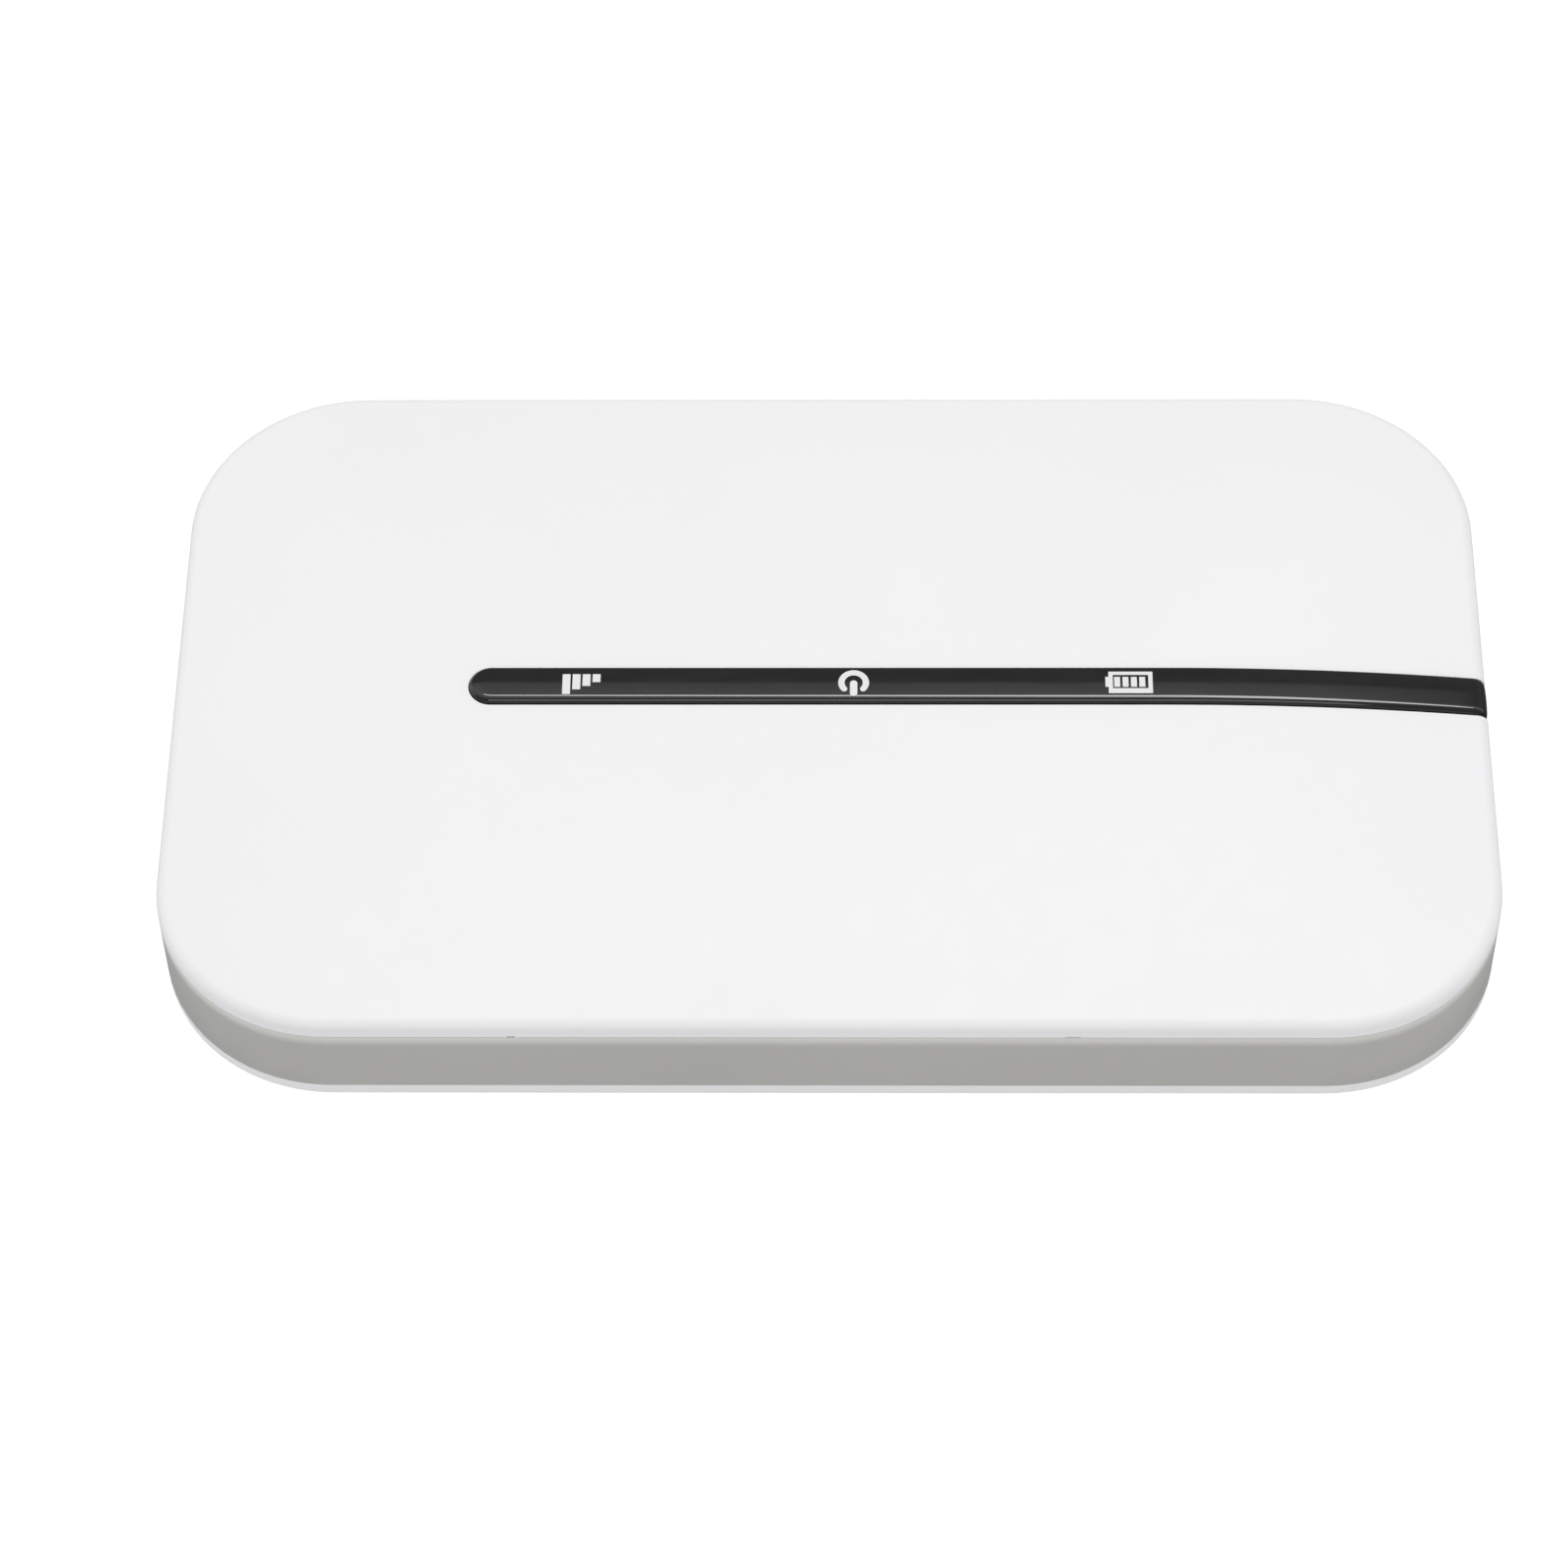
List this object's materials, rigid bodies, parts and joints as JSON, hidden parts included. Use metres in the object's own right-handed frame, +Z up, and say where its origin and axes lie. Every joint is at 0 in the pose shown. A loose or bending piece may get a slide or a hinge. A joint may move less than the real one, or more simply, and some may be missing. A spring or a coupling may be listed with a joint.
{
  "type": "mobile hotspot",
  "caption": "Flat pocket hotspot with rounded corners, white top and back covers, a grey middle frame and a black indicator strip.",
  "frame": {"origin": "middle of the back cover, on the surface that the hotspot lies on", "axes": "+X along the length to the end with the charging socket, +Y across, +Z up through the top cover"},
  "size_m": [0.1, 0.06, 0.0126],
  "materials": {
    "white_shell": "fine satin moulded",
    "grey_frame": "fine matt moulded",
    "grey_key": "fine matt moulded",
    "black_window": "polished",
    "white_symbol": "printed",
    "clear_guide": "frosted clear",
    "black_foam": "matt foam",
    "board_green": "solder mask",
    "led_body": "phosphor",
    "tin_plate": "tinned sheet",
    "chip_black": "moulded epoxy",
    "thermal_pad": "soft matt",
    "ferrite": "ground ferrite",
    "capacitor_amber": "moulded",
    "passive_tan": "ceramic with tinned ends",
    "gold_plate": "gold plated",
    "ceramic": "fired ceramic",
    "black_plastic": "glass-filled, matt",
    "copper_film": "copper foil under film",
    "spring_steel": "plated, pressed",
    "screw_steel": "nickel plated",
    "label_film": "printed film, blank",
    "cell_wrap": "film-wrapped can"
  },
  "bodies": {
    "back_cover": {"back_cover": "white_shell"},
    "case": {"top_cover": "white_shell", "indicator_strip": "black_window", "signal_icon": "white_symbol", "power_icon": "white_symbol", "battery_icon": "white_symbol", "light_guides": "clear_guide", "light_shroud": "black_foam", "mid_frame": "grey_frame", "main_board": "board_green", "status_leds": "led_body", "baseband_shield_frame": "tin_plate", "baseband_shield_lid": "tin_plate", "radio_shield_frame": "tin_plate", "radio_shield_lid": "tin_plate", "baseband_chip": "chip_black", "memory_chip": "chip_black", "power_chip": "chip_black", "radio_chip": "chip_black", "amplifier_chips": "chip_black", "clock_crystal": "tin_plate", "thermal_pad": "thermal_pad", "inductors": "ferrite", "storage_capacitors": "capacitor_amber", "top_passives": "passive_tan", "bottom_passives": "passive_tan", "radio_test_sockets": "gold_plate", "wifi_antenna": "ceramic", "antenna_carrier": "black_plastic", "main_antenna": "copper_film", "side_antenna": "copper_film", "antenna_springs": "spring_steel", "usb_shell": "spring_steel", "usb_tongue": "black_plastic", "usb_contacts": "gold_plate", "sim_base": "black_plastic", "sim_shell": "spring_steel", "sim_contacts": "gold_plate", "battery_connector": "black_plastic", "battery_springs": "gold_plate", "power_switch": "spring_steel", "reset_switch": "spring_steel", "case_screws": "screw_steel", "board_screws": "screw_steel", "rating_label": "label_film"},
    "battery": {"battery_cell": "cell_wrap", "battery_end_cap": "black_plastic", "battery_board": "board_green", "battery_contacts": "gold_plate", "battery_label": "label_film"},
    "power_key": {"power_key": "grey_key", "power_plunger": "black_plastic"},
    "reset_plunger": {"reset_plunger": "black_plastic"}
  },
  "joints": [
    {"name": "case_lift", "type": "slide", "parent": "back_cover", "child": "case", "axis": [0, 0, 1], "range_m": [0, 0.03]},
    {"name": "battery_lift", "type": "slide", "parent": "case", "child": "battery", "axis": [0, 0, -1], "range_m": [0, 0.0135]},
    {"name": "power_key_press", "type": "slide", "parent": "case", "child": "power_key", "axis": [-1, 0, 0], "range_m": [0, 0.0003], "stiffness_N_per_m": 900, "springref_m": -0.0004},
    {"name": "reset_press", "type": "slide", "parent": "case", "child": "reset_plunger", "axis": [0, 0, 1], "range_m": [0, 0.00025], "stiffness_N_per_m": 600, "springref_m": -0.0003}
  ],
  "couplings": [
    {"joint": "battery_lift", "follows": "case_lift", "ratio": 0.45}
  ]
}
